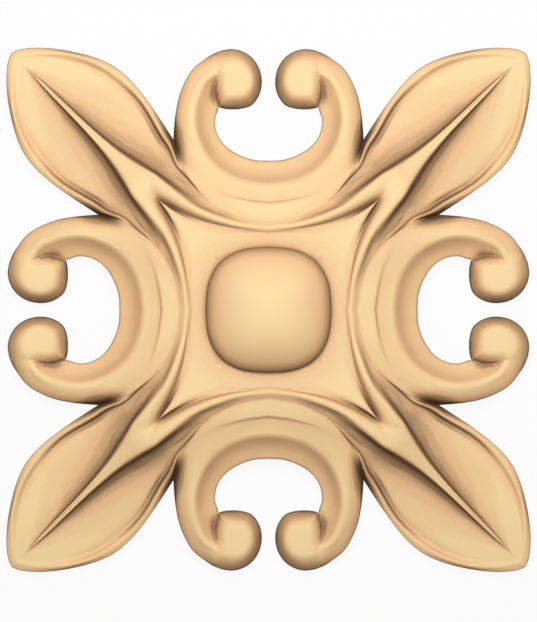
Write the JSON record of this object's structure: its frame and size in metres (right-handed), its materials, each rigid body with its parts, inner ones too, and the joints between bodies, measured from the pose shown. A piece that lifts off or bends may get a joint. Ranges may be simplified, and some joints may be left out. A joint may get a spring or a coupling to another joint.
{
  "type": "ceiling medallion",
  "caption": "Pale carved wood ceiling medallion, square, with a domed boss, ribbed leaves on the diagonals and C-scrolls on the sides",
  "frame": {"origin": "centre of the flat back face", "axes": "+Z out of the relief, away from the surface it is fixed to; +Y and +X each along one scroll side, +Y up in the picture"},
  "size_m": [0.3998, 0.3998, 0.05],
  "materials": {
    "pale_wood": "sanded smooth, satin"
  },
  "bodies": {
    "root": {"medallion": "pale_wood"}
  },
  "joints": []
}
